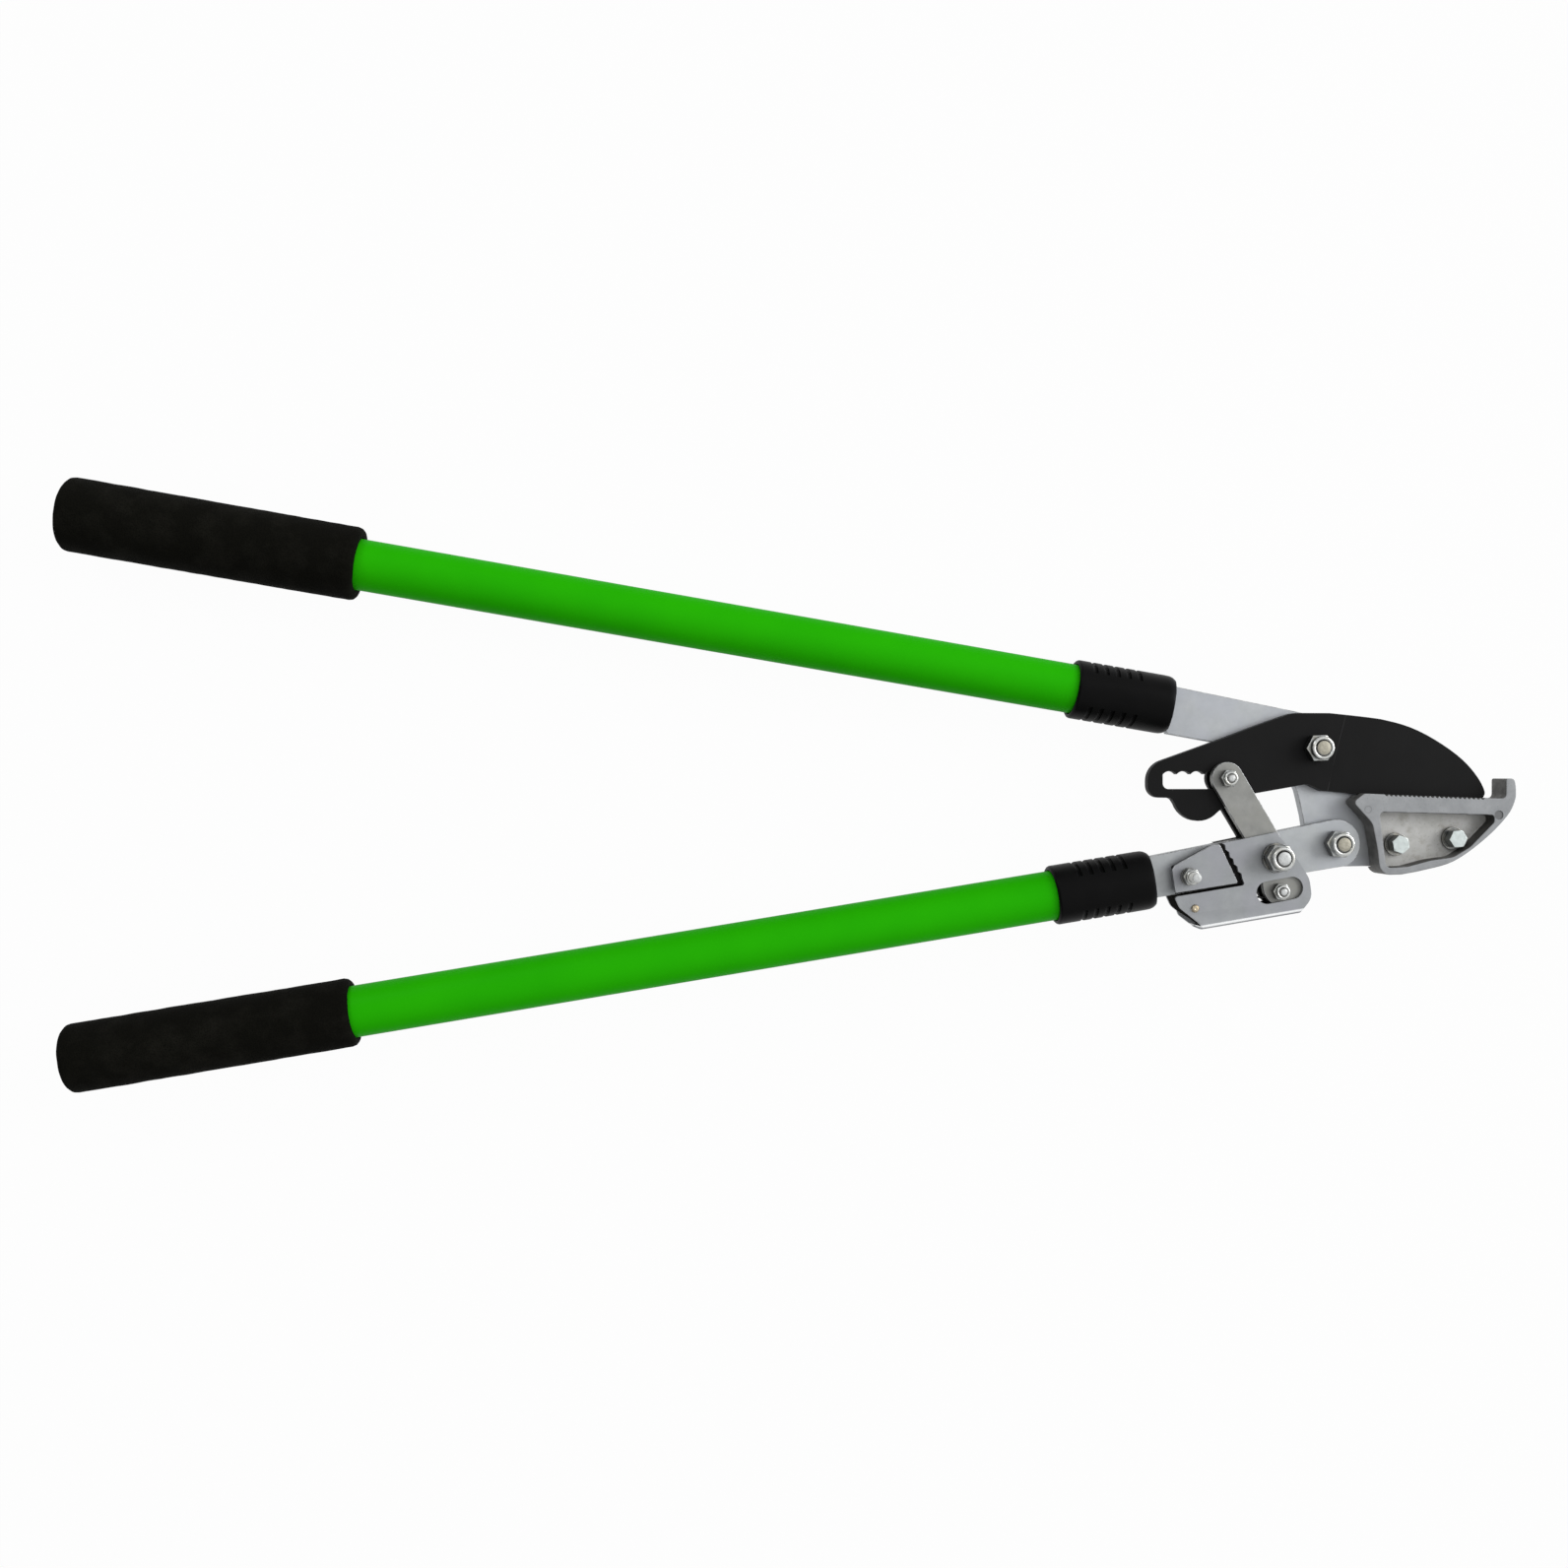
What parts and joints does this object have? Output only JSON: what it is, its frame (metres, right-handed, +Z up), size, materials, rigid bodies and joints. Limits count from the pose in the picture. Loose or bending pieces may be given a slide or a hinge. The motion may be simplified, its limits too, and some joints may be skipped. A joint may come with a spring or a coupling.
{
  "type": "ratchet anvil lopper",
  "caption": "Long-handled ratchet anvil lopper with green tubular handles, black foam grips, a black coated blade and a cast anvil.",
  "frame": {"origin": "on the blade pivot's axis, at the outer face of the blade pivot bolt's head, which is the lowest face of the jaw as the tool lies", "axes": "+X towards the jaw's tip, +Y towards the upper handle, +Z up out of the face that shows the ratchet; the tool lies flat in XY"},
  "size_m": [0.7243, 0.2938, 0.0418],
  "materials": {
    "green_paint": "gloss green paint on steel tube",
    "black_foam": "fine-celled black foam",
    "black_plastic": "satin moulded black plastic",
    "grey_nylon": "plain grey moulded plastic",
    "zinc_plate": "satin zinc plated steel sheet",
    "bright_zinc": "bright zinc plated fasteners",
    "cast_alloy": "fine grained light grey casting",
    "black_coating": "satin black non-stick coating on steel",
    "brass": "bright brass",
    "spring_steel": "drawn spring wire"
  },
  "bodies": {
    "root": {"anvil_plate": "zinc_plate", "anvil": "cast_alloy", "anvil_bolt_rear": "bright_zinc", "anvil_bolt_front": "bright_zinc", "anvil_washer_rear": "bright_zinc", "anvil_washer_front": "bright_zinc", "anvil_nut_rear": "bright_zinc", "anvil_nut_front": "bright_zinc", "blade_pivot_bolt": "bright_zinc", "blade_pivot_nut": "bright_zinc", "handle_pivot_bolt": "bright_zinc", "handle_pivot_nut": "bright_zinc", "upper_tube": "green_paint", "upper_collar": "black_plastic", "upper_tang_insert": "grey_nylon", "upper_tang_rivet": "bright_zinc", "upper_tube_plug": "grey_nylon", "upper_grip": "black_foam"},
    "blade": {"blade": "black_coating"},
    "lower_handle": {"lower_tang": "zinc_plate", "lower_tube": "green_paint", "lower_collar": "black_plastic", "lower_tang_insert": "grey_nylon", "lower_tang_rivet": "bright_zinc", "lower_tube_plug": "grey_nylon", "lower_grip": "black_foam", "link_pivot_bolt": "bright_zinc", "link_pivot_nut": "bright_zinc", "link_pivot_washer": "bright_zinc", "pawl_bolt": "bright_zinc", "pawl_nut": "bright_zinc", "pawl_washer": "bright_zinc", "pawl_spacer": "bright_zinc"},
    "link": {"front_link": "zinc_plate", "rear_link": "black_coating", "ratchet_pin_bolt": "bright_zinc", "ratchet_pin_nut": "bright_zinc", "spring_stud_bolt": "bright_zinc", "spring_stud_nut": "bright_zinc"},
    "housing": {"ratchet_housing": "zinc_plate", "spring_rivet": "brass", "ratchet_spring": "spring_steel"},
    "pawl": {"pawl_plate": "zinc_plate"}
  },
  "joints": [
    {"name": "handle_pivot", "type": "hinge", "parent": "root", "child": "lower_handle", "pos_m": [0.0106, -0.0491, 0.013], "axis": [0, 0, 1], "range_deg": [0, 44]},
    {"name": "blade_pivot", "type": "hinge", "parent": "root", "child": "blade", "pos_m": [0, 0, 0.013], "axis": [0, 0, 1], "range_deg": [0, 37]},
    {"name": "link_pivot", "type": "hinge", "parent": "lower_handle", "child": "link", "pos_m": [-0.024, -0.0557, 0.013], "axis": [0, 0, 1], "range_deg": [-9, 0], "deforming": ["ratchet_spring"]},
    {"name": "housing_swing", "type": "hinge", "parent": "lower_handle", "child": "housing", "pos_m": [-0.024, -0.0557, 0.013], "axis": [0, 0, 1], "range_deg": [-1, 3], "deforming": ["ratchet_spring"]},
    {"name": "pawl_tilt", "type": "hinge", "parent": "lower_handle", "child": "pawl", "pos_m": [-0.06941, -0.065, 0.0198], "axis": [0, 0, 1], "range_deg": [-2, 3]}
  ],
  "couplings": [
    {"joint": "blade_pivot", "follows": "handle_pivot", "ratio": 0.84},
    {"joint": "link_pivot", "follows": "handle_pivot", "ratio": -0.2}
  ]
}
